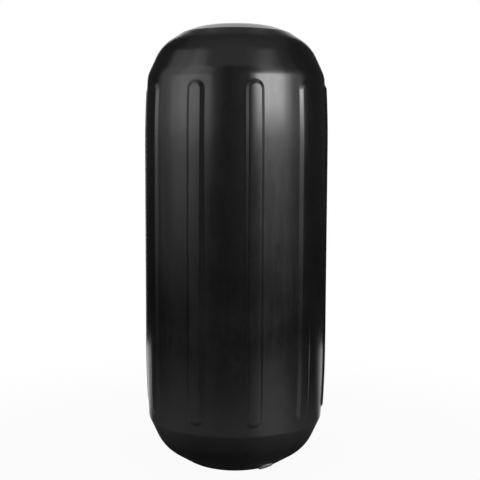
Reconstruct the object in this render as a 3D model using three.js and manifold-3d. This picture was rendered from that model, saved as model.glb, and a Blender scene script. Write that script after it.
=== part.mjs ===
// Air-filled boat fender with a rope hole through its centre, standing on its lower end.
// Millimetres, +Z up, origin at the centre of the lower end face.
import * as THREE from 'three';
import { mergeVertices } from 'three/addons/utils/BufferGeometryUtils.js';
import Module from 'manifold-3d';

const wasm = await Module();
wasm.setup();

// Barrel and ends. Each rise is measured from the end face, each round is a fillet radius. The
// barrel has its radius at the shoulders and swells out between them, as air pressure makes it.
const LENGTH = 518;
const BARREL_RADIUS = 103.5;
const BARREL_SWELL = 3;
const SWELL_RISE = 106;
const SWELL_ROUND = 1200;
const WALL = 2.6;
const SHOULDER_RISE = 57.5;
const SHOULDER_ROUND = 31;
const KNUCKLE_RISE = 23.7;
const KNUCKLE_INSET = 15.7;
const KNUCKLE_ROUND = 48;
const FACE_RADIUS = 50;
const FACE_ROUND = 42;

// Rope hole
const ROPE_HOLE_RADIUS = 12.5;
const ROPE_MOUTH_ROUND = 8;

// Ribs, wrapped round the barrel. The margin lies between a rib's end and the shoulder's bend.
const RIB_COUNT = 10;
const RIB_HEIGHT = 2;
const RIB_WIDTH = 21;
const RIB_CROWN_WIDTH = 13;
const RIB_EDGE_ROUND = 3;
const RIB_END_MARGIN = 3.2;

// Valve, square to the lower dome. The offset runs up the dome from the corner of the face.
const VALVE_TURN = THREE.MathUtils.degToRad(-48);
const VALVE_OFFSET = 14;
const FLANGE_RADIUS = 8.5;
const FLANGE_THICKNESS = 2;
const FLANGE_EDGE_ROUND = 0.7;
const STEM_RADIUS = 6.5;
const STEM_LENGTH = 14;
const RETAINING_RING_COUNT = 2;
const RETAINING_RING_HEIGHT = 0.8;
const RETAINING_RING_WIDTH = 1.6;
const RETAINING_RING_PITCH = 4;
const SPOT_FACE_DEPTH = 1.2;
const BOSS_WALL = 3.5;
const BOSS_LENGTH = 13;

// Plug and seal
const PLUG_HEAD_RADIUS = 4.6;
const PLUG_HEAD_THICKNESS = 1.3;
const PLUG_EDGE_ROUND = 0.4;
const PLUG_SHANK_RADIUS = 2.6;
const PLUG_SHANK_LENGTH = 8;
const PLUG_SLOT_WIDTH = 1.2;
const PLUG_SLOT_DEPTH = 0.8;
const SEAL_THICKNESS = 0.8;
const SEAL_LAND = 1.5;
const AIR_PASSAGE_RADIUS = 1.5;

// Gap left between seated pieces, so that no two of them share a face
const SEAT_GAP = 0.3;

// Facets
const BARREL_SEGMENTS = 60;
const CHAMBER_SEGMENTS = 40;
const RIB_SEGMENTS = 14;
const RIB_STEPS = 3;
const VALVE_SEGMENTS = 24;
const SKIN_STEP = THREE.MathUtils.degToRad(10);
const MOUTH_STEP = THREE.MathUtils.degToRad(18);
const EDGE_STEP = THREE.MathUtils.degToRad(30);

// A corner of a profile: distance from the axis, height, fillet radius and fillet facet angle
function corner(radius, height, round = 0, step = SKIN_STEP) {
  return { point: new THREE.Vector2(radius, height), round, step };
}

function leftOf(direction) {
  return new THREE.Vector2(-direction.y, direction.x);
}

// Directions into and out of a corner
function bend(corners, index) {
  const here = corners[index].point;
  const before = corners.at(index - 1).point;
  const after = corners[(index + 1) % corners.length].point;
  const incoming = here.clone().sub(before).normalize();
  const outgoing = after.clone().sub(here).normalize();
  return { here, incoming, outgoing };
}

// The profile with every corner turned into an arc of its own radius
function filleted(corners) {
  return corners.flatMap(({ round, step }, index) => {
    const { here, incoming, outgoing } = bend(corners, index);
    const turn = Math.atan2(incoming.cross(outgoing), incoming.dot(outgoing));
    if (round === 0 || turn === 0) {
      return [here];
    }
    const reach = round * Math.abs(Math.tan(turn / 2));
    const start = here.clone().addScaledVector(incoming, -reach);
    const centre = start.clone().addScaledVector(leftOf(incoming), Math.sign(turn) * round);
    const steps = Math.ceil(Math.abs(turn) / step);
    return Array.from(
      { length: steps + 1 },
      (_, k) => start.clone().rotateAround(centre, (turn * k) / steps),
    );
  });
}

// A closed profile moved inwards by a wall, with its fillets on the same centres
function inset(corners, wall) {
  return corners.map(({ round, step }, index) => {
    const { here, incoming, outgoing } = bend(corners, index);
    const sideIn = leftOf(incoming);
    const sideOut = leftOf(outgoing);
    const shift = sideIn.clone().add(sideOut).multiplyScalar(wall / (1 + sideIn.dot(sideOut)));
    const moved = here.clone().add(shift);
    return corner(moved.x, moved.y, Math.max(round - wall, 0), step * 2);
  });
}

// Turns a profile round +Z. One that starts away from the axis is closed on itself.
function revolve(corners, segments) {
  const profile = filleted(corners);
  const points = profile[0].x === 0 ? profile : [...profile, profile[0]];
  return new THREE.LatheGeometry(points, segments).rotateX(Math.PI / 2);
}

// A closed geometry as a solid that can be joined and cut
function solidOf(geometry) {
  const bare = geometry.clone();
  bare.deleteAttribute('normal');
  bare.deleteAttribute('uv');
  const welded = mergeVertices(bare);
  const triVerts = [];
  for (let i = 0; i < welded.index.count; i += 3) {
    const [a, b, c] = welded.index.array.slice(i, i + 3);
    if (a !== b && b !== c && c !== a) {
      triVerts.push(a, b, c);
    }
  }
  return new wasm.Manifold(new wasm.Mesh({
    numProp: 3,
    vertProperties: welded.attributes.position.array,
    triVerts: new Uint32Array(triVerts),
  }));
}

function meshOf(name, solid, material) {
  const { vertProperties, triVerts } = solid.getMesh();
  const geometry = new THREE.BufferGeometry();
  geometry.setAttribute('position', new THREE.BufferAttribute(vertProperties, 3));
  geometry.setIndex(new THREE.BufferAttribute(triVerts, 1));
  geometry.computeVertexNormals();
  const mesh = new THREE.Mesh(geometry, new THREE.MeshStandardMaterial(material));
  mesh.name = name;
  return mesh;
}

// Turn of the skin where a shoulder meets an upright barrel
function shoulderTurn() {
  return Math.atan2(KNUCKLE_INSET, SHOULDER_RISE - KNUCKLE_RISE);
}

// Fillet where the swell levels out, within the room that the shoulder's fillet leaves it
function swellRound() {
  const run = SWELL_RISE - SHOULDER_RISE;
  const turn = Math.atan2(BARREL_SWELL, run);
  const shoulderReach = SHOULDER_ROUND * Math.tan((shoulderTurn() - turn) / 2);
  const room = Math.min(Math.hypot(run, BARREL_SWELL) - shoulderReach, LENGTH / 2 - SWELL_RISE);
  return Math.min(SWELL_ROUND, room / Math.tan(turn / 2));
}

// Outer skin: rope mouth, flat face, dome, shoulder and barrel, the same at both ends
function skinCorners() {
  const lowerEnd = [
    corner(ROPE_HOLE_RADIUS, 0, ROPE_MOUTH_ROUND, MOUTH_STEP),
    corner(FACE_RADIUS, 0, FACE_ROUND),
    corner(BARREL_RADIUS - KNUCKLE_INSET, KNUCKLE_RISE, KNUCKLE_ROUND),
    corner(BARREL_RADIUS, SHOULDER_RISE, SHOULDER_ROUND),
    corner(BARREL_RADIUS + BARREL_SWELL, SWELL_RISE, swellRound()),
  ];
  const upperEnd = lowerEnd.map(
    ({ point, round, step }) => corner(point.x, LENGTH - point.y, round, step),
  );
  return [...lowerEnd, ...upperEnd.reverse()];
}

// Length of a rib, which stops short of the bend where each shoulder leaves the barrel
function ribLength() {
  const bendRise = SHOULDER_RISE + SHOULDER_ROUND * Math.tan(shoulderTurn() / 2);
  return LENGTH - 2 * (bendRise + RIB_END_MARGIN);
}

// Radius of the barrel's skin at a height
function skinRadius(outline, height) {
  const above = outline.findIndex((point) => point.y > height);
  const [low, high] = outline.slice(above - 1, above + 1);
  return low.x + ((high.x - low.x) * (height - low.y)) / (high.y - low.y);
}

// Lays a flat rib on the barrel's +X side: across the rib round the barrel, along it upwards
function wrapOnBarrel(geometry, outline) {
  const position = geometry.attributes.position;
  for (let i = 0; i < position.count; i += 1) {
    const height = LENGTH / 2 + position.getY(i);
    const skin = skinRadius(outline, height);
    const angle = position.getX(i) / skin;
    const radius = skin + position.getZ(i);
    position.setXYZ(i, radius * Math.cos(angle), radius * Math.sin(angle), height);
  }
  return geometry;
}

// Half of a rib's section, from its root half way into the wall up to the middle of its crown
function ribSection(overFlats) {
  const root = WALL / 2;
  const slope = (RIB_WIDTH - RIB_CROWN_WIDTH) / 2 / RIB_HEIGHT;
  return [
    corner(0, -root),
    corner(overFlats * (RIB_WIDTH / 2 + slope * root), -root),
    corner(overFlats * (RIB_CROWN_WIDTH / 2), RIB_HEIGHT, RIB_EDGE_ROUND, EDGE_STEP),
    corner(0, RIB_HEIGHT),
  ];
}

// A rib: a straight run between two round bosses of the same section
function ribSolid(outline) {
  const run = ribLength() - RIB_WIDTH;
  const half = filleted(ribSection(1)).slice(1, -1);
  const mirrored = half.map((point) => new THREE.Vector2(-point.x, point.y)).reverse();
  const section = new THREE.Shape([...half, ...mirrored]);
  const straight = new THREE.ExtrudeGeometry(section, {
    depth: run,
    steps: RIB_STEPS,
    bevelEnabled: false,
  });
  straight.rotateX(Math.PI / 2).translate(0, run / 2, 0);
  const overFlats = 1 / Math.cos(Math.PI / RIB_SEGMENTS);
  const ends = [-run / 2, run / 2].map((along) => {
    const boss = revolve(ribSection(overFlats), RIB_SEGMENTS).rotateZ(Math.PI / RIB_SEGMENTS);
    return solidOf(wrapOnBarrel(boss.translate(0, along, 0), outline));
  });
  return ends.reduce((rib, end) => rib.add(end), solidOf(wrapOnBarrel(straight, outline)));
}

// Heights in the valve's own frame, where zero is the dome's skin and +Z points out of the fender
const flangeUnderside = SEAT_GAP - SPOT_FACE_DEPTH;
const flangeTop = flangeUnderside + FLANGE_THICKNESS;
const stemEnd = flangeUnderside - STEM_LENGTH;
const headUnderside = flangeTop - PLUG_HEAD_THICKNESS;
const sealTop = headUnderside - SEAT_GAP;
const sealUnderside = sealTop - SEAL_THICKNESS;
const recessFloor = sealUnderside - SEAT_GAP;
const shankEnd = headUnderside - PLUG_SHANK_LENGTH;
const threadedBoreRadius = PLUG_SHANK_RADIUS + SEAT_GAP;

// Rings that lock the valve's stem in its boss, from the inner one outwards, grown by a gap
function retainingRings(grow) {
  const foot = STEM_RADIUS + grow;
  const crest = foot + RETAINING_RING_HEIGHT;
  const rings = [];
  for (let ring = RETAINING_RING_COUNT; ring > 0; ring -= 1) {
    const middle = flangeUnderside - ring * RETAINING_RING_PITCH;
    const halfFoot = RETAINING_RING_WIDTH / 2 + grow;
    const halfCrest = RETAINING_RING_WIDTH / 4 + grow;
    rings.push(
      corner(foot, middle - halfFoot),
      corner(crest, middle - halfCrest),
      corner(crest, middle + halfCrest),
      corner(foot, middle + halfFoot),
    );
  }
  return rings;
}

function valveBodyGeometry() {
  return revolve([
    corner(AIR_PASSAGE_RADIUS, stemEnd),
    corner(STEM_RADIUS, stemEnd, FLANGE_EDGE_ROUND, EDGE_STEP),
    ...retainingRings(0),
    corner(STEM_RADIUS, flangeUnderside),
    corner(FLANGE_RADIUS, flangeUnderside),
    corner(FLANGE_RADIUS, flangeTop, FLANGE_EDGE_ROUND, EDGE_STEP),
    corner(PLUG_HEAD_RADIUS + SEAT_GAP, flangeTop),
    corner(PLUG_HEAD_RADIUS + SEAT_GAP, recessFloor),
    corner(threadedBoreRadius, recessFloor),
    corner(threadedBoreRadius, shankEnd - SEAT_GAP),
    corner(AIR_PASSAGE_RADIUS, shankEnd - SEAT_GAP),
  ], VALVE_SEGMENTS);
}

function plugSolid() {
  const turned = revolve([
    corner(0, shankEnd),
    corner(PLUG_SHANK_RADIUS, shankEnd, PLUG_EDGE_ROUND, EDGE_STEP),
    corner(PLUG_SHANK_RADIUS, headUnderside),
    corner(PLUG_HEAD_RADIUS, headUnderside),
    corner(PLUG_HEAD_RADIUS, flangeTop, PLUG_EDGE_ROUND, EDGE_STEP),
    corner(0, flangeTop),
  ], VALVE_SEGMENTS);
  const slot = new THREE.BoxGeometry(3 * PLUG_HEAD_RADIUS, PLUG_SLOT_WIDTH, 2 * PLUG_SLOT_DEPTH);
  slot.translate(0, 0, flangeTop);
  return solidOf(turned).subtract(solidOf(slot));
}

function sealGeometry() {
  return revolve([
    corner(threadedBoreRadius, sealUnderside),
    corner(threadedBoreRadius + SEAL_LAND, sealUnderside),
    corner(threadedBoreRadius + SEAL_LAND, sealTop),
    corner(threadedBoreRadius, sealTop),
  ], VALVE_SEGMENTS);
}

// Thickening of the wall that carries the valve
function bossGeometry() {
  const radius = STEM_RADIUS + SEAT_GAP + RETAINING_RING_HEIGHT + BOSS_WALL;
  return revolve([
    corner(0, -BOSS_LENGTH),
    corner(radius, -BOSS_LENGTH),
    corner(radius, 0),
    corner(0, 0),
  ], VALVE_SEGMENTS);
}

// What is cut for the valve: a spot face for its flange and a bore on into the air chamber
function valveSeatGeometry() {
  return revolve([
    corner(0, stemEnd - SEAT_GAP),
    corner(STEM_RADIUS + SEAT_GAP, stemEnd - SEAT_GAP),
    ...retainingRings(SEAT_GAP),
    corner(STEM_RADIUS + SEAT_GAP, -SPOT_FACE_DEPTH),
    corner(FLANGE_RADIUS + SEAT_GAP, -SPOT_FACE_DEPTH),
    corner(FLANGE_RADIUS + SEAT_GAP, flangeTop),
    corner(0, flangeTop),
  ], VALVE_SEGMENTS);
}

// The valve's frame: on the lower dome, with +Z square to it and out of the fender
function valveFrame() {
  const dome = new THREE.Vector2(BARREL_RADIUS - KNUCKLE_INSET - FACE_RADIUS, KNUCKLE_RISE);
  dome.normalize();
  const sideways = new THREE.Vector3(Math.cos(VALVE_TURN), Math.sin(VALVE_TURN), 0);
  const outward = sideways.clone().multiplyScalar(dome.y).setZ(-dome.x);
  const frame = new THREE.Group();
  frame.position.copy(sideways).multiplyScalar(FACE_RADIUS + VALVE_OFFSET * dome.x);
  frame.position.setZ(VALVE_OFFSET * dome.y);
  frame.quaternion.setFromUnitVectors(new THREE.Vector3(0, 0, 1), outward);
  frame.updateMatrix();
  return frame;
}

// The hollow moulding: skin less air chamber, with the valve's boss left standing and its seat cut
function fenderBodySolid(valveMatrix) {
  const skin = skinCorners();
  const chamber = solidOf(revolve(inset(skin, WALL), CHAMBER_SEGMENTS));
  const boss = solidOf(bossGeometry().applyMatrix4(valveMatrix));
  const seat = solidOf(valveSeatGeometry().applyMatrix4(valveMatrix));
  const shell = solidOf(revolve(skin, BARREL_SEGMENTS)).subtract(chamber.subtract(boss));
  const rib = ribSolid(filleted(skin));
  const ribs = Array.from(
    { length: RIB_COUNT },
    (_, k) => rib.rotate([0, 0, (360 * k) / RIB_COUNT]),
  );
  return ribs.reduce((body, turned) => body.add(turned), shell).subtract(seat);
}

const vinyl = { color: 0x101112, roughness: 0.22, metalness: 0 };
const valvePlastic = { color: 0x8c8d8b, roughness: 0.45, metalness: 0 };
const plugPlastic = { color: 0x9b9c9a, roughness: 0.4, metalness: 0 };
const rubber = { color: 0x1a1a1a, roughness: 0.7, metalness: 0 };

const valve = valveFrame();
valve.add(meshOf('valve_body', solidOf(valveBodyGeometry()), valvePlastic));
valve.add(meshOf('valve_plug', plugSolid(), plugPlastic));
valve.add(meshOf('valve_seal', solidOf(sealGeometry()), rubber));

const fender = new THREE.Group();
fender.add(meshOf('fender_body', fenderBodySolid(valve.matrix), vinyl));
fender.add(valve);

export default fender;
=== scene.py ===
import math
from collections import namedtuple

import bmesh
import bpy
from bpy.props import FloatProperty, FloatVectorProperty, IntProperty, PointerProperty
from mathutils import Matrix, Vector


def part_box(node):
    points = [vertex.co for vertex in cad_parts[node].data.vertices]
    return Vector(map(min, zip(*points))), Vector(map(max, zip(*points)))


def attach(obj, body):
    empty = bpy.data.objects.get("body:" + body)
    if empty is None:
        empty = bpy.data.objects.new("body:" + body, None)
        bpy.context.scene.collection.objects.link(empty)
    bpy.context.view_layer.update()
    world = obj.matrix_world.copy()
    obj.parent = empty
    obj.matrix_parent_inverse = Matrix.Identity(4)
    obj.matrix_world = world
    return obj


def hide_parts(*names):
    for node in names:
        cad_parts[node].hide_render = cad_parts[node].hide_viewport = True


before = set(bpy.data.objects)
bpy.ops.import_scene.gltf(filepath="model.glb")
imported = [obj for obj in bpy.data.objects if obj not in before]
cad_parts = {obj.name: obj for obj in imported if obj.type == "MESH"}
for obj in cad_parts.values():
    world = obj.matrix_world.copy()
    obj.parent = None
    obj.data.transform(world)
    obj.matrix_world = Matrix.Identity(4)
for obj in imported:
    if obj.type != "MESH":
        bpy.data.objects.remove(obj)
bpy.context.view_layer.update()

bl_info = {
    "name": "Boat Fender",
    "version": (1, 0, 0),
    "blender": (4, 5, 0),
    "location": "3D View > Sidebar > Fender",
    "description": "Finished surfaces of a moulded boat fender, its valve and a studio to show it in",
    "category": "Add Mesh",
}

BODY_LOW, BODY_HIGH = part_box("fender_body")
MM = 0.001

# Edges that turn by more than this stay sharp
SHARP_ANGLE = math.radians(40)

# Points closer than this count as one
TINY = 0.001 * MM

# Divisions of the mesh: straight rows in each half of a rib, the widest facet across a rib
# and the facets round the valve's pieces
STRAIGHT_ROWS = 16
WIDEST_FACET = 3.5 * MM
VALVE_STEPS = 96

# The valve stem's retaining rings
RING_PITCH = 4 * MM
RING_HEIGHT = 0.8 * MM
RING_HALF_FOOT = 0.8 * MM
RING_HALF_CREST = 0.4 * MM

SEAL_ROUND = 0.2 * MM
SLOT_ROUND = 0.2 * MM
SENSOR_WIDTH = 36
WHITE = (1, 1, 1, 1)

# The light tent's opening behind the fender, in degrees to each side, down and up
OPENING_ASIDE = 14
OPENING_LOW = -20
OPENING_HIGH = 50

# A corner of an outline: distance from the axis, height, fillet radius and facets of the fillet
Corner = namedtuple("Corner", "radius height round facets", defaults=(0.0, 1))


class FenderBodySizes(bpy.types.PropertyGroup):
    length: FloatProperty(
        name="Length", description="From end face to end face",
        default=BODY_HIGH.z - BODY_LOW.z, unit="LENGTH")
    barrel_radius: FloatProperty(
        name="Barrel radius", description="Radius between the ribs at the shoulders",
        default=103.5 * MM, unit="LENGTH")
    barrel_swell: FloatProperty(
        name="Barrel swell", description="How far the barrel swells out between the shoulders",
        default=BODY_HIGH.x - 105.5 * MM, unit="LENGTH")
    swell_rise: FloatProperty(
        name="Swell rise", description="Height of the corner where the swell levels out",
        default=106 * MM, unit="LENGTH")
    swell_round: FloatProperty(
        name="Swell round", description="Fillet of that corner", default=1.2, unit="LENGTH")
    shoulder_rise: FloatProperty(
        name="Shoulder rise", description="Height of the barrel's corner over the end face",
        default=57.5 * MM, unit="LENGTH")
    shoulder_round: FloatProperty(
        name="Shoulder round", description="Fillet between barrel and upper shoulder",
        default=31 * MM, unit="LENGTH")
    lower_shoulder_round: FloatProperty(
        name="Lower shoulder round", description="Fillet between barrel and lower shoulder",
        default=13 * MM, unit="LENGTH")
    knuckle_rise: FloatProperty(
        name="Knuckle rise", description="Height of the corner between shoulder and dome",
        default=23.7 * MM, unit="LENGTH")
    knuckle_inset: FloatProperty(
        name="Knuckle inset", description="How far that corner stands in from the barrel",
        default=15.7 * MM, unit="LENGTH")
    knuckle_round: FloatProperty(
        name="Knuckle round", description="Fillet between shoulder and dome",
        default=48 * MM, unit="LENGTH")
    face_radius: FloatProperty(
        name="Face radius", description="Corner between dome and flat end face",
        default=50 * MM, unit="LENGTH")
    face_round: FloatProperty(
        name="Face round", description="Fillet between dome and end face",
        default=42 * MM, unit="LENGTH")
    lid_radius: FloatProperty(
        name="Lid radius", description="Corner between the upper end face and its sloping lid",
        default=42 * MM, unit="LENGTH")
    lid_round: FloatProperty(
        name="Lid round", description="Fillet between the upper end face and its lid",
        default=60 * MM, unit="LENGTH")
    rim_radius: FloatProperty(
        name="Rim radius", description="Crease between lid and dome at the upper end",
        default=64 * MM, unit="LENGTH")
    rim_drop: FloatProperty(
        name="Rim drop", description="How far the crease lies below the upper end face",
        default=8.2 * MM, unit="LENGTH")
    rim_round: FloatProperty(
        name="Rim round", description="Fillet of the crease", default=4 * MM, unit="LENGTH")
    hole_radius: FloatProperty(
        name="Rope hole radius", description="Radius of the hole through the middle",
        default=12.5 * MM, unit="LENGTH")
    mouth_round: FloatProperty(
        name="Rope mouth round", description="Fillet between rope hole and end face",
        default=8 * MM, unit="LENGTH")


class FenderRibSizes(bpy.types.PropertyGroup):
    count: IntProperty(name="Count", description="Ribs round the barrel", default=10, min=3)
    height: FloatProperty(
        name="Height", description="How far a rib stands out", default=2 * MM, unit="LENGTH")
    width: FloatProperty(
        name="Width", description="Across a rib's foot", default=21 * MM, unit="LENGTH")
    crown_width: FloatProperty(
        name="Crown width", description="Across a rib's flat crown", default=13 * MM, unit="LENGTH")
    crown_round: FloatProperty(
        name="Crown round", description="Fillet of the crown's edge", default=4 * MM, unit="LENGTH")
    foot_round: FloatProperty(
        name="Foot round", description="Fillet where a rib meets the barrel",
        default=3 * MM, unit="LENGTH")
    end_margin: FloatProperty(
        name="End margin", description="From a rib's end to the shoulder's bend",
        default=3.2 * MM, unit="LENGTH")


class FenderValveSizes(bpy.types.PropertyGroup):
    turn: FloatProperty(
        name="Turn", description="Angle round the fender's axis",
        default=math.radians(-48), subtype="ANGLE")
    offset: FloatProperty(
        name="Offset", description="Up the dome from the corner of the end face",
        default=14 * MM, unit="LENGTH")
    flange_radius: FloatProperty(
        name="Flange radius", description="Radius of the insert's disc",
        default=8.5 * MM, unit="LENGTH")
    flange_thickness: FloatProperty(
        name="Flange thickness", description="Thickness of the disc", default=2 * MM, unit="LENGTH")
    stem_radius: FloatProperty(
        name="Stem radius", description="Radius of the insert's stem", default=6.5 * MM, unit="LENGTH")
    stem_length: FloatProperty(
        name="Stem length", description="From the disc to the stem's end",
        default=14 * MM, unit="LENGTH")
    spot_face_depth: FloatProperty(
        name="Spot face depth", description="Depth of the seat sunk in the dome",
        default=1.2 * MM, unit="LENGTH")
    head_radius: FloatProperty(
        name="Plug head radius", description="Radius of the screw plug's head",
        default=4.6 * MM, unit="LENGTH")
    head_thickness: FloatProperty(
        name="Plug head thickness", description="Thickness of the plug's head",
        default=1.3 * MM, unit="LENGTH")
    shank_radius: FloatProperty(
        name="Plug shank radius", description="Radius of the plug's shank",
        default=2.6 * MM, unit="LENGTH")
    shank_length: FloatProperty(
        name="Plug shank length", description="Length under the plug's head",
        default=8 * MM, unit="LENGTH")
    slot_width: FloatProperty(
        name="Slot width", description="Width of the plug's slot", default=1.2 * MM, unit="LENGTH")
    slot_depth: FloatProperty(
        name="Slot depth", description="Depth of the plug's slot", default=0.8 * MM, unit="LENGTH")
    seal_thickness: FloatProperty(
        name="Seal thickness", description="Thickness of the sealing ring",
        default=0.8 * MM, unit="LENGTH")
    seal_land: FloatProperty(
        name="Seal land", description="Width of the sealing ring's flat",
        default=1.5 * MM, unit="LENGTH")
    passage_radius: FloatProperty(
        name="Air passage radius", description="Radius of the hole on into the air chamber",
        default=1.5 * MM, unit="LENGTH")
    gap: FloatProperty(
        name="Seat gap", description="Gap between seated pieces", default=0.3 * MM, unit="LENGTH")


class FenderFinish(bpy.types.PropertyGroup):
    vinyl: FloatVectorProperty(
        name="Vinyl", description="Colour of the moulded body", subtype="COLOR", size=3,
        default=(0.0055, 0.0055, 0.006))
    vinyl_roughness: FloatProperty(
        name="Vinyl roughness", description="How far the vinyl blurs what it mirrors",
        default=0.22, subtype="FACTOR")
    insert: FloatVectorProperty(
        name="Insert", description="Colour of the valve insert", subtype="COLOR", size=3,
        default=(0.30, 0.30, 0.29))
    plug: FloatVectorProperty(
        name="Plug", description="Colour of the screw plug", subtype="COLOR", size=3,
        default=(0.36, 0.36, 0.35))
    seal: FloatVectorProperty(
        name="Seal", description="Colour of the sealing ring", subtype="COLOR", size=3,
        default=(0.012, 0.012, 0.012))


class FenderStudio(bpy.types.PropertyGroup):
    camera_turn: FloatProperty(
        name="Camera turn", description="Where the camera stands round the fender",
        default=math.radians(-83.3), subtype="ANGLE")
    camera_distance: FloatProperty(
        name="Camera distance", description="From the fender's axis", default=1.124, unit="LENGTH")
    camera_rise: FloatProperty(
        name="Camera rise", description="Over the fender's middle", default=0.112, unit="LENGTH")
    camera_tilt: FloatProperty(
        name="Camera tilt", description="How far it looks down",
        default=math.radians(5.25), subtype="ANGLE")
    camera_yaw: FloatProperty(
        name="Camera yaw", description="How far it looks past the fender to the right",
        default=math.radians(0.27), subtype="ANGLE")
    camera_roll: FloatProperty(
        name="Camera roll", description="Roll about its line of sight",
        default=math.radians(0.235), subtype="ANGLE")
    camera_lens: FloatProperty(
        name="Lens", description="Focal length on a 36 mm sensor", default=70.85, unit="CAMERA")
    softbox_distance: FloatProperty(
        name="Softbox distance", description="From the fender's axis", default=4, unit="LENGTH")
    softbox_rise: FloatProperty(
        name="Softbox rise", description="Level over the fender's middle from which they are aimed",
        default=0.18, unit="LENGTH")
    ground_radius: FloatProperty(
        name="Ground radius", description="Radius of the pale ground", default=0.75, unit="LENGTH")
    tent_radius: FloatProperty(
        name="Tent radius", description="Radius of the light tent", default=9, unit="LENGTH")


# Outlines and turned shapes


def unit_left(direction):
    return Vector((-direction.y, direction.x))


def filleted(corners):
    """Points (distance, height) of an outline whose corners are turned into arcs."""
    places = [Vector((corner.radius, corner.height)) for corner in corners]
    points = []
    for index, corner in enumerate(corners):
        here = places[index]
        incoming = (here - places[index - 1]).normalized()
        outgoing = (places[(index + 1) % len(places)] - here).normalized()
        turn = math.atan2(incoming.cross(outgoing), incoming.dot(outgoing))
        if corner.round == 0 or turn == 0:
            points.append(here)
            continue
        start = here - incoming * corner.round * abs(math.tan(turn / 2))
        centre = start + unit_left(incoming) * math.copysign(corner.round, turn)
        for step in range(corner.facets + 1):
            swing = Matrix.Rotation(turn * step / corner.facets, 2)
            points.append(centre + swing @ (start - centre))
    return points


def spin_outline(points, steps):
    """A bmesh turned round Z. An outline that starts away from the axis is closed on itself."""
    bm = bmesh.new()
    verts = [bm.verts.new((point.x, 0, point.y)) for point in points]
    edges = [bm.edges.new(pair) for pair in zip(verts, verts[1:])]
    if points[0].x > 0:
        edges.append(bm.edges.new((verts[-1], verts[0])))
    bmesh.ops.spin(
        bm, geom=verts + edges, cent=(0, 0, 0), axis=(0, 0, 1), dvec=(0, 0, 0),
        angle=2 * math.pi, steps=steps, use_merge=True, use_duplicate=False)
    bmesh.ops.remove_doubles(bm, verts=bm.verts, dist=TINY)
    bmesh.ops.recalc_face_normals(bm, faces=bm.faces)
    return bm


def piece_from(bm, name, material):
    """The bmesh as a smooth-shaded object with its place in its mesh."""
    mesh = bpy.data.meshes.new(name)
    bm.to_mesh(mesh)
    bm.free()
    piece = bpy.data.objects.new(name, mesh)
    bpy.context.scene.collection.objects.link(piece)
    shade(piece, material)
    return piece


def shade(piece, material):
    piece.data.materials.clear()
    piece.data.materials.append(material)
    piece.data.shade_smooth()
    piece.data.set_sharp_from_angle(angle=SHARP_ANGLE)


def cut_away(piece, cutter):
    """Cuts the cutter's form out of the piece and deletes the cutter."""
    cut = piece.modifiers.new("cut", "BOOLEAN")
    cut.operation = "DIFFERENCE"
    cut.solver = "EXACT"
    cut.object = cutter
    evaluated = piece.evaluated_get(bpy.context.evaluated_depsgraph_get())
    whole = piece.data
    piece.data = bpy.data.meshes.new_from_object(evaluated)
    piece.modifiers.clear()
    bpy.data.meshes.remove(whole)
    bpy.data.objects.remove(cutter)


# Moulded body


def skin_corners(body):
    """Corners from the rope mouth at the lower end out and up to the mouth at the upper end."""
    mouth = Corner(body.hole_radius, 0, body.mouth_round, 10)
    plain_face = Corner(body.face_radius, 0, body.face_round, 10)
    creased_face = [
        Corner(body.lid_radius, 0, body.lid_round, 10),
        Corner(body.rim_radius, body.rim_drop, body.rim_round, 4),
    ]
    side = [
        Corner(body.barrel_radius - body.knuckle_inset, body.knuckle_rise, body.knuckle_round, 10),
        Corner(body.barrel_radius, body.shoulder_rise, body.shoulder_round, 8),
        Corner(body.barrel_radius + body.barrel_swell, body.swell_rise, body.swell_round, 12),
    ]
    upper = [
        corner._replace(height=body.length - corner.height)
        for corner in (mouth, *creased_face, *side)]
    side[1] = side[1]._replace(round=body.lower_shoulder_round)
    return [mouth, plain_face, *side, *reversed(upper)]


def rib_section(rib, half_pitch):
    """Points (distance from the rib's middle, height) out to half way to the next rib."""
    return filleted([
        Corner(0, rib.height),
        Corner(rib.crown_width / 2, rib.height, rib.crown_round, 4),
        Corner(rib.width / 2, 0, rib.foot_round, 4),
        Corner(half_pitch, 0),
    ])


def stations(section, longest):
    """Distances at which the skin is divided across a rib, with no stretch over its limit."""
    found = [0.0]
    for start, end in zip(section, section[1:]):
        pieces = math.ceil((end.x - start.x) / longest)
        found += [start.x + (end.x - start.x) * k / pieces for k in range(1, pieces + 1)]
    return found


def height_on(section, distance):
    """Height of the rib's section at a distance from its middle."""
    for start, end in zip(section, section[1:]):
        if distance <= end.x:
            share = (distance - start.x) / (end.x - start.x)
            return start.y + (end.y - start.y) * share
    return 0.0


def shoulder_bend(body):
    """Height where the upper shoulder's fillet ends, measured from its end face."""
    turn = math.atan2(body.knuckle_inset, body.shoulder_rise - body.knuckle_rise)
    return body.shoulder_rise + body.shoulder_round * math.tan(turn / 2)


def skin_radius(outline, height):
    """Radius of the barrel's skin at a height."""
    above = next(index for index, point in enumerate(outline) if point.y > height)
    low, high = outline[above - 1:above + 1]
    return low.x + (high.x - low.x) * (height - low.y) / (high.y - low.y)


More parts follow.
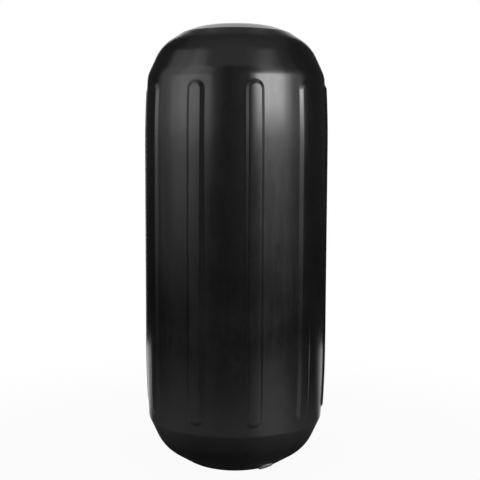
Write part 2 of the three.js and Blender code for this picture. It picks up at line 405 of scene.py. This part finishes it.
def moulded_body_mesh(body, rib):
    """The turned skin with the ribs raised on it, its mesh divided to follow their edges."""
    widest = body.barrel_radius + body.barrel_swell
    half_pitch = math.pi * widest / rib.count
    section = rib_section(rib, half_pitch)
    foot = section[-2].x
    across = stations(section, WIDEST_FACET)
    columns = [distance / widest for distance in across]
    pitch = 2 * math.pi / rib.count
    columns += [pitch - column for column in reversed(columns[1:-1])]

    # Middle of a rib's round end, from the fender's middle
    middle = body.length / 2
    end_centre = middle - shoulder_bend(body) - rib.end_margin - rib.width / 2
    rises = [end_centre + distance for distance in across if distance <= foot]
    straight = [end_centre * k / STRAIGHT_ROWS for k in range(STRAIGHT_ROWS)]
    rises = straight + rises
    heights = [middle - rise for rise in reversed(rises[1:])] + [middle + rise for rise in rises]

    outline = filleted(skin_corners(body))
    rows = [Vector((skin_radius(outline, height), height)) for height in heights]
    lower = [point for point in outline if point.y < heights[0]]
    upper = [point for point in outline if point.y > heights[-1]]
    bm = spin_outline(lower + rows + upper, len(columns) * rib.count)

    column_step = pitch / len(columns)
    for vert in bm.verts:
        radius = math.hypot(vert.co.x, vert.co.y)
        column = round(math.atan2(vert.co.y, vert.co.x) / column_step)
        turns, place = divmod(column, len(columns))
        angle = turns * pitch + columns[place]
        height = vert.co.z
        nearest = round(angle / pitch) * pitch
        aside = (angle - nearest) * widest
        beyond = max(0.0, abs(height - middle) - end_centre)
        distance = max(abs(aside), beyond)
        if distance <= foot + TINY:
            if beyond > 0:
                rounder = distance / math.hypot(aside, beyond)
                angle = nearest + aside * rounder / widest
                height = middle + math.copysign(end_centre + beyond * rounder, height - middle)
            radius = skin_radius(outline, height) + height_on(section, distance)
        vert.co = (radius * math.cos(angle), radius * math.sin(angle), height)
    return bm


# Valve


def valve_matrix(body, valve):
    """The valve's frame: on the lower dome, with +Z square to it and out of the fender."""
    dome = Vector((body.barrel_radius - body.knuckle_inset - body.face_radius, body.knuckle_rise))
    dome.normalize()
    sideways = Vector((math.cos(valve.turn), math.sin(valve.turn), 0))
    outward = sideways * dome.y + Vector((0, 0, -dome.x))
    place = sideways * (body.face_radius + valve.offset * dome.x)
    place.z = valve.offset * dome.y
    turn = Vector((0, 0, 1)).rotation_difference(outward)
    return Matrix.Translation(place) @ turn.to_matrix().to_4x4()


Levels = namedtuple(
    "Levels", "stem_end flange_under flange_top head_under seal_top floor shank_end")


def valve_levels(valve):
    """Heights in the valve's frame, from the stem's end to the top of the flange."""
    flange_under = valve.gap - valve.spot_face_depth
    flange_top = flange_under + valve.flange_thickness
    head_under = flange_top - valve.head_thickness
    seal_top = head_under - valve.gap
    return Levels(
        stem_end=flange_under - valve.stem_length,
        flange_under=flange_under,
        flange_top=flange_top,
        head_under=head_under,
        seal_top=seal_top,
        floor=seal_top - valve.seal_thickness - valve.gap,
        shank_end=head_under - valve.shank_length)


def retaining_rings(valve, flange_under, grow):
    """Two rings that lock the stem in the wall, from the inner one outwards."""
    foot = valve.stem_radius + grow
    crest = foot + RING_HEIGHT
    half_foot = RING_HALF_FOOT + grow
    half_crest = RING_HALF_CREST + grow
    rings = []
    for ring in (2, 1):
        middle = flange_under - ring * RING_PITCH
        rings += [
            Corner(foot, middle - half_foot),
            Corner(crest, middle - half_crest),
            Corner(crest, middle + half_crest),
            Corner(foot, middle + half_foot),
        ]
    return rings


def valve_pocket_mesh(valve):
    """What the valve takes out of the body: spot face, bore and grooves."""
    level = valve_levels(valve)
    bore = valve.stem_radius + valve.gap
    spot = valve.flange_radius + valve.gap
    return spin_outline(filleted([
        Corner(0, level.stem_end - valve.gap),
        Corner(bore, level.stem_end - valve.gap),
        *retaining_rings(valve, level.flange_under, valve.gap),
        Corner(bore, -valve.spot_face_depth),
        Corner(spot, -valve.spot_face_depth),
        Corner(spot, valve.flange_radius),
        Corner(0, valve.flange_radius),
    ]), VALVE_STEPS)


def valve_insert_mesh(valve):
    level = valve_levels(valve)
    bore = valve.shank_radius + valve.gap
    recess = valve.head_radius + valve.gap
    return spin_outline(filleted([
        Corner(valve.passage_radius, level.stem_end),
        Corner(valve.stem_radius, level.stem_end, 0.7 * MM, 6),
        *retaining_rings(valve, level.flange_under, 0),
        Corner(valve.stem_radius, level.flange_under),
        Corner(valve.flange_radius, level.flange_under, 0.2 * MM, 3),
        Corner(valve.flange_radius, level.flange_top, 0.7 * MM, 8),
        Corner(recess, level.flange_top, 0.25 * MM, 4),
        Corner(recess, level.floor),
        Corner(bore, level.floor),
        Corner(bore, level.shank_end - valve.gap),
        Corner(valve.passage_radius, level.shank_end - valve.gap),
    ]), VALVE_STEPS)


def valve_screw_mesh(valve):
    level = valve_levels(valve)
    return spin_outline(filleted([
        Corner(0, level.shank_end),
        Corner(valve.shank_radius, level.shank_end, 0.5 * MM, 5),
        Corner(valve.shank_radius, level.head_under),
        Corner(valve.head_radius, level.head_under, 0.15 * MM, 3),
        Corner(valve.head_radius, level.flange_top, 0.4 * MM, 6),
        Corner(0, level.flange_top),
    ]), VALVE_STEPS)


def slot_cutter_mesh(valve):
    level = valve_levels(valve)
    bm = bmesh.new()
    bmesh.ops.create_cube(bm, size=1)
    bmesh.ops.scale(
        bm, verts=bm.verts,
        vec=(4 * valve.head_radius, valve.slot_width, 2 * valve.slot_depth))
    bmesh.ops.translate(bm, verts=bm.verts, vec=(0, 0, level.flange_top))
    lower_edges = [edge for edge in bm.edges if all(v.co.z < level.flange_top for v in edge.verts)]
    bmesh.ops.bevel(
        bm, geom=lower_edges, offset=SLOT_ROUND, segments=3, profile=0.5,
        affect="EDGES", material=-1)
    return bm


def valve_washer_mesh(valve):
    level = valve_levels(valve)
    inner = valve.shank_radius + valve.gap
    outer = inner + valve.seal_land
    low = level.seal_top - valve.seal_thickness
    places = ((inner, low), (outer, low), (outer, level.seal_top), (inner, level.seal_top))
    return spin_outline(filleted([Corner(*place, SEAL_ROUND, 4) for place in places]), VALVE_STEPS)


# Materials


class Nodes:
    """A material's or world's node tree, cleared and built up by name."""

    def __init__(self, owner):
        owner.use_nodes = True
        self.tree = owner.node_tree
        self.tree.nodes.clear()

    def add(self, kind, inputs=None, **settings):
        node = self.tree.nodes.new(kind)
        for name, value in settings.items():
            setattr(node, name, value)
        for socket, value in (inputs or {}).items():
            if isinstance(value, bpy.types.NodeSocket):
                self.tree.links.new(value, node.inputs[socket])
            else:
                node.inputs[socket].default_value = value
        return node

    def noise(self, vector, scale, detail, roughness=0.5):
        return self.add(
            "ShaderNodeTexNoise",
            {"Vector": vector, "Scale": scale, "Detail": detail, "Roughness": roughness}
        ).outputs["Fac"]

    def spread(self, value, low, high, span=(0.3, 0.7)):
        """A texture's value taken to a range."""
        return self.add("ShaderNodeMapRange", {
            "Value": value, "From Min": span[0], "From Max": span[1],
            "To Min": low, "To Max": high}).outputs["Result"]

    def product(self, first, second):
        return self.add("ShaderNodeMath", {0: first, 1: second}, operation="MULTIPLY").outputs[0]

    def larger(self, first, second):
        return self.add("ShaderNodeMath", {0: first, 1: second}, operation="MAXIMUM").outputs[0]

    def shades(self, value, dark, light):
        mix = self.add("ShaderNodeMix", data_type="RGBA")
        self.tree.links.new(value, mix.inputs[0])
        mix.inputs[6].default_value = (*dark, 1)
        mix.inputs[7].default_value = (*light, 1)
        return mix.outputs[2]

    def bump(self, height, distance, strength=1.0, below=None):
        inputs = {"Height": height, "Distance": distance, "Strength": strength}
        if below is not None:
            inputs["Normal"] = below
        return self.add("ShaderNodeBump", inputs).outputs["Normal"]

    def finish(self, shader):
        self.add("ShaderNodeOutputMaterial", {"Surface": shader})


def lighter(colour, factor):
    return tuple(part * factor for part in colour)


def vinyl_material(finish):
    """Glossy black vinyl with the soft unevenness of a rotational moulding."""
    material = bpy.data.materials.new("moulded_vinyl")
    nodes = Nodes(material)
    place = nodes.add("ShaderNodeTexCoord").outputs["Object"]
    upright = nodes.add("ShaderNodeMapping", {"Vector": place, "Scale": (1, 1, 0.12)}).outputs[0]
    cloudy = nodes.noise(place, 22, 5, 0.6)
    wiped = nodes.noise(upright, 130, 4, 0.6)
    dusty = nodes.noise(place, 240, 3)
    waves = nodes.noise(place, 26, 1)
    bump = nodes.bump(waves, 0.15 * MM, 0.3)
    bump = nodes.bump(dusty, 0.012 * MM, 0.4, bump)
    rough = finish.vinyl_roughness
    film = nodes.product(nodes.spread(cloudy, 0.2, 1), nodes.spread(dusty, 0.3, 1))
    shader = nodes.add("ShaderNodeBsdfPrincipled", {
        "Base Color": nodes.shades(film, lighter(finish.vinyl, 0.7), lighter(finish.vinyl, 1.9)),
        "Roughness": nodes.spread(
            nodes.product(cloudy, wiped), rough * 0.84, rough * 1.18, (0.12, 0.4)),
        "Normal": bump,
        "IOR": 1.52})
    nodes.finish(shader.outputs[0])
    return material


def plastic_material(name, colour, roughness):
    """Satin moulded plastic with a faint grain."""
    material = bpy.data.materials.new(name)
    nodes = Nodes(material)
    place = nodes.add("ShaderNodeTexCoord").outputs["Object"]
    cloudy = nodes.noise(place, 180, 3)
    grain = nodes.noise(place, 2600, 2)
    shader = nodes.add("ShaderNodeBsdfPrincipled", {
        "Base Color": nodes.shades(cloudy, lighter(colour, 0.9), lighter(colour, 1.08)),
        "Roughness": nodes.spread(grain, roughness * 0.85, roughness * 1.15),
        "Normal": nodes.bump(grain, 0.02 * MM, 0.5)})
    nodes.finish(shader.outputs[0])
    return material


# Operators


def ride_as(piece, node):
    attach(piece, "root")
    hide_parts(node)


class FENDER_OT_moulded_body(bpy.types.Operator):
    """Build the moulded vinyl body with its ribs, domed ends, rope hole and valve pocket"""
    bl_idname = "fender.moulded_body"
    bl_label = "Moulded body"

    def execute(self, context):
        body = context.scene.fender_body
        valve = context.scene.fender_valve
        vinyl = vinyl_material(context.scene.fender_finish)
        piece = piece_from(moulded_body_mesh(body, context.scene.fender_rib), "moulded_body", vinyl)
        cutter_mesh = valve_pocket_mesh(valve)
        cutter_mesh.transform(valve_matrix(body, valve))
        cut_away(piece, piece_from(cutter_mesh, "valve_pocket", vinyl))
        shade(piece, vinyl)
        ride_as(piece, "fender_body")
        return {"FINISHED"}


class FENDER_OT_valve(bpy.types.Operator):
    """Build the valve: flanged insert, slotted screw plug and sealing ring"""
    bl_idname = "fender.valve"
    bl_label = "Valve"

    def execute(self, context):
        valve = context.scene.fender_valve
        finish = context.scene.fender_finish
        insert_plastic = plastic_material("insert_plastic", finish.insert, 0.45)
        plug_plastic = plastic_material("plug_plastic", finish.plug, 0.4)
        rubber = plastic_material("seal_rubber", finish.seal, 0.7)
        insert = piece_from(valve_insert_mesh(valve), "valve_insert", insert_plastic)
        screw = piece_from(valve_screw_mesh(valve), "valve_screw", plug_plastic)
        cut_away(screw, piece_from(slot_cutter_mesh(valve), "slot", plug_plastic))
        shade(screw, plug_plastic)
        washer = piece_from(valve_washer_mesh(valve), "valve_washer", rubber)
        place = valve_matrix(context.scene.fender_body, valve)
        for piece, node, slot in (
                (insert, "valve_body", "valve_plastic"),
                (screw, "valve_plug", "plug_plastic"),
                (washer, "valve_seal", "seal_rubber")):
            piece.data.transform(place)
            ride_as(piece, node)
        return {"FINISHED"}


def around(turn, distance, height):
    return Vector((distance * math.cos(turn), distance * math.sin(turn), height))


def add_camera(studio, middle):
    data = bpy.data.cameras.new("camera")
    data.sensor_width = SENSOR_WIDTH
    data.lens = studio.camera_lens
    data.clip_start = 0.01
    camera = bpy.data.objects.new("camera", data)
    bpy.context.scene.collection.objects.link(camera)
    place = around(studio.camera_turn, studio.camera_distance, middle + studio.camera_rise)
    tilt = studio.camera_tilt
    ahead = around(
        studio.camera_turn + math.pi - studio.camera_yaw, math.cos(tilt), -math.sin(tilt))
    aim = ahead.to_track_quat("-Z", "Y").to_matrix().to_4x4()
    roll = Matrix.Rotation(studio.camera_roll, 4, "Z")
    camera.matrix_world = Matrix.Translation(place) @ aim @ roll
    bpy.context.scene.camera = camera


# A softbox: its middle to the right of the camera, its lowest and highest edge, its width
# (all as angles seen from the fender's upper half) and its brightness, where 1 shows as white
Softbox = namedtuple("Softbox", "name aside low high width brightness")
SOFTBOXES = (
    Softbox("key_right", 43, 4.5, 17, 38, 8.0),
    Softbox("key_right_wide", 48, 4.5, 18, 48, 3.0),
    Softbox("side_right", 76, 1, 19, 32, 1.0),
    Softbox("side_right_upper", 80, 19, 46, 28, 0.2),
    Softbox("upper_right", 47, 17, 50, 26, 0.9),
    Softbox("upper_right_wide", 49, 17, 54, 46, 0.5),
    Softbox("upper_right_low", 48, 17, 27, 34, 1.2),
    Softbox("base_right", 60, -10, 4, 52, 0.3),
    Softbox("base_right_core", 52, -5, 4, 40, 0.45),
    Softbox("front_right", 14, -12, 46, 32, 0.06),
    Softbox("left_wide", -71, 1, 46, 82, 0.6),
    Softbox("left_front", -35, 1, 49, 32, 0.25),
    Softbox("left_middle", -66, 1, 49, 60, 0.3),
    Softbox("left_core", -62, 1, 52, 26, 0.65),
    Softbox("left_low", -59, 2, 13, 58, 1.0),
    Softbox("base_left", -72, -10, 1, 76, 0.28),
    Softbox("base_left_core", -67, -6, 1, 36, 0.4),
)


def add_softbox(studio, box, middle):
    """A rectangular lamp that faces the fender and that the camera doesn't see."""
    distance = studio.softbox_distance
    low = math.tan(math.radians(box.low)) * distance
    high = math.tan(math.radians(box.high)) * distance
    data = bpy.data.lights.new(box.name, "AREA")
    data.shape = "RECTANGLE"
    data.size = 2 * distance * math.tan(math.radians(box.width / 2))
    data.size_y = high - low
    data.energy = box.brightness * math.pi * data.size * data.size_y
    light = bpy.data.objects.new(box.name, data)
    bpy.context.scene.collection.objects.link(light)
    turn = studio.camera_turn + math.radians(box.aside)
    place = around(turn, distance, middle + studio.softbox_rise + (low + high) / 2)
    facing = around(turn + math.pi, 1, 0).to_track_quat("-Z", "Y").to_matrix().to_4x4()
    light.matrix_world = Matrix.Translation(place) @ facing
    light.visible_camera = False


def seen_share(nodes, mirrored):
    """1 for the camera, the mirrored share for gloss and glass, 0 for light on the object."""
    path = nodes.add("ShaderNodeLightPath").outputs
    inside = nodes.larger(path["Is Glossy Ray"], path["Is Transmission Ray"])
    return nodes.larger(path["Is Camera Ray"], nodes.product(inside, mirrored))


def toward(nodes, place, turn):
    """Unit vector from the origin, with X to the camera's right and Y away from the camera."""
    turned = nodes.add(
        "ShaderNodeVectorRotate", {"Vector": place, "Angle": -turn}, rotation_type="Z_AXIS")
    unit = nodes.add("ShaderNodeVectorMath", {0: turned.outputs[0]}, operation="NORMALIZE")
    return nodes.add("ShaderNodeSeparateXYZ", {"Vector": unit.outputs["Vector"]}).outputs


def pale_ground(radius, turn):
    """Pale paper that fades into the white background towards its rim.

    Its colour holds painted light and shade: a painted pool of light at the front right, where the key
    light falls, and painted shadow under the fender, behind it and far out, where less light falls.
    """
    material = bpy.data.materials.new("pale_ground")
    nodes = Nodes(material)
    place = nodes.add("ShaderNodeTexCoord").outputs["Object"]
    away = nodes.add("ShaderNodeVectorMath", {0: place}, operation="LENGTH").outputs["Value"]
    fade = nodes.add("ShaderNodeMapRange", {
        "Value": away, "From Min": 0.12, "From Max": radius * 0.92,
        "To Min": 0.95, "To Max": 1.0}, interpolation_type="SMOOTHSTEP")
    # Painted contact shadow: the paper's colour darkens close under the fender
    under = nodes.spread(away, 0.12, 1, (0.1, 0.19))
    # Painted shade: the paper's colour darkens far out, where less light falls
    far_out = nodes.spread(away, 1, 0.15, (0.22, 0.55))
    side = toward(nodes, place, turn)
    # Painted shadow: the paper's colour darkens behind the fender, where the front lamps' light is
    # blocked
    behind = nodes.spread(side["Y"], 1, 0.25, (-0.4, 0.6))
    # Painted pool of light: the paper's colour is lightest at the front right, where the key light
    # falls
    front_right = nodes.product(
        nodes.spread(side["X"], 0, 1, (0.25, 0.5)), nodes.spread(side["Y"], 1, 0, (-0.6, -0.35)))
    painted_key_light_pool = nodes.spread(front_right, 0.6, 1, (0, 1))
    # The paper's colour carries all of this painted light and shade
    painted_light_and_shade = nodes.product(nodes.product(under, far_out), nodes.product(behind, painted_key_light_pool))
    backdrop = nodes.product(
        nodes.spread(side["Y"], 0, 1, (0.5, 0.8)), nodes.spread(away, 0, 1, (0.12, 0.19)))
    paper = nodes.add("ShaderNodeBsdfPrincipled", {
        "Base Color": nodes.shades(painted_light_and_shade, (0, 0, 0), (0.95, 0.95, 0.95)),
        "Roughness": 0.5, "Specular IOR Level": 0.3})
    glow = nodes.add("ShaderNodeEmission", {"Color": WHITE, "Strength": 1.0})
    share = nodes.product(seen_share(nodes, backdrop), fade.outputs["Result"])
    mix = nodes.add("ShaderNodeMixShader", {0: share, 1: paper.outputs[0], 2: glow.outputs[0]})
    nodes.finish(mix.outputs[0])
    return material


def add_ground(studio):
    bm = bmesh.new()
    bmesh.ops.create_circle(bm, cap_ends=True, segments=96, radius=studio.ground_radius)
    material = pale_ground(studio.ground_radius, studio.camera_turn + math.pi / 2)
    ground = piece_from(bm, "ground", material)


def tent_cloth(turn):
    """Cloth that glows dimly overhead and on the camera's side, less towards the back."""
    material = bpy.data.materials.new("tent_cloth")
    nodes = Nodes(material)
    ray = toward(nodes, nodes.add("ShaderNodeTexCoord").outputs["Object"], turn)
    ceiling = nodes.product(
        nodes.spread(ray["Z"], 0, 1, (0.7, 0.8)),
        nodes.spread(ray["Y"], 0.52, 0.14, (-0.7, 0.35)))
    front = nodes.product(
        nodes.spread(ray["Z"], 0.3, 1, (-0.1, 0.05)),
        nodes.spread(ray["Y"], 0.11, 0.04, (-0.9, -0.2)))
    glow = nodes.add(
        "ShaderNodeEmission", {"Color": WHITE, "Strength": nodes.larger(ceiling, front)})
    nodes.finish(glow.outputs[0])
    return material


def add_tent(studio, middle):
    """A light tent round the set, open at the back where the white background shows."""
    bm = bmesh.new()
    bmesh.ops.create_uvsphere(bm, u_segments=72, v_segments=36, radius=studio.tent_radius)
    bmesh.ops.reverse_faces(bm, faces=bm.faces)
    opening = []
    for face in bm.faces:
        ray = face.calc_center_median()
        aside = math.degrees(math.atan2(*ray.xy))
        rise = math.degrees(math.asin(ray.normalized().z))
        if abs(aside) < OPENING_ASIDE and OPENING_LOW < rise < OPENING_HIGH:
            opening.append(face)
    bmesh.ops.delete(bm, geom=opening, context="FACES")
    turn = studio.camera_turn + math.pi / 2
    bm.transform(Matrix.Translation((0, 0, middle)) @ Matrix.Rotation(turn, 4, "Z"))
    tent = piece_from(bm, "light_tent", tent_cloth(turn))
    tent.visible_camera = False


def light_world():
    """A world that is white where it is seen and dim as a light."""
    world = bpy.data.worlds.new("studio")
    bpy.context.scene.world = world
    nodes = Nodes(world)
    white = nodes.add("ShaderNodeBackground", {"Color": WHITE, "Strength": 1.0})
    dim = nodes.add("ShaderNodeBackground", {"Color": WHITE, "Strength": 0.3})
    mix = nodes.add("ShaderNodeMixShader", {
        0: seen_share(nodes, 1.0), 1: dim.outputs[0], 2: white.outputs[0]})
    nodes.add("ShaderNodeOutputWorld", {"Surface": mix.outputs[0]})


class FENDER_OT_stage(bpy.types.Operator):
    """Set up the camera, the pale ground, the light tent, the white world and the softboxes"""
    bl_idname = "fender.stage"
    bl_label = "Stage"

    def execute(self, context):
        studio = context.scene.fender_studio
        middle = context.scene.fender_body.length / 2
        add_camera(studio, middle)
        add_ground(studio)
        add_tent(studio, middle)
        light_world()
        for box in SOFTBOXES:
            add_softbox(studio, box, middle)
        context.scene.view_settings.view_transform = "Standard"
        return {"FINISHED"}


class FENDER_PT_panel(bpy.types.Panel):
    """Sidebar panel that lists the fender's operators"""
    bl_idname = "FENDER_PT_panel"
    bl_label = "Boat Fender"
    bl_space_type = "VIEW_3D"
    bl_region_type = "UI"
    bl_category = "Fender"

    def draw(self, context):
        column = self.layout.column()
        for operator in OPERATORS:
            column.operator(operator.bl_idname)
        for settings in SETTINGS:
            box = self.layout.box()
            for field in settings.__annotations__:
                box.prop(getattr(context.scene, SETTINGS[settings]), field)


OPERATORS = (FENDER_OT_moulded_body, FENDER_OT_valve, FENDER_OT_stage)
SETTINGS = {
    FenderBodySizes: "fender_body",
    FenderRibSizes: "fender_rib",
    FenderValveSizes: "fender_valve",
    FenderFinish: "fender_finish",
    FenderStudio: "fender_studio",
}


def register():
    for settings, name in SETTINGS.items():
        bpy.utils.register_class(settings)
        setattr(bpy.types.Scene, name, PointerProperty(type=settings))
    for cls in (*OPERATORS, FENDER_PT_panel):
        bpy.utils.register_class(cls)


def unregister():
    for cls in reversed((*OPERATORS, FENDER_PT_panel)):
        bpy.utils.unregister_class(cls)
    for settings, name in SETTINGS.items():
        delattr(bpy.types.Scene, name)
        bpy.utils.unregister_class(settings)


def main():
    register()
    bpy.ops.fender.moulded_body()
    bpy.ops.fender.valve()
    bpy.ops.fender.stage()


if __name__ == "__main__":
    main()
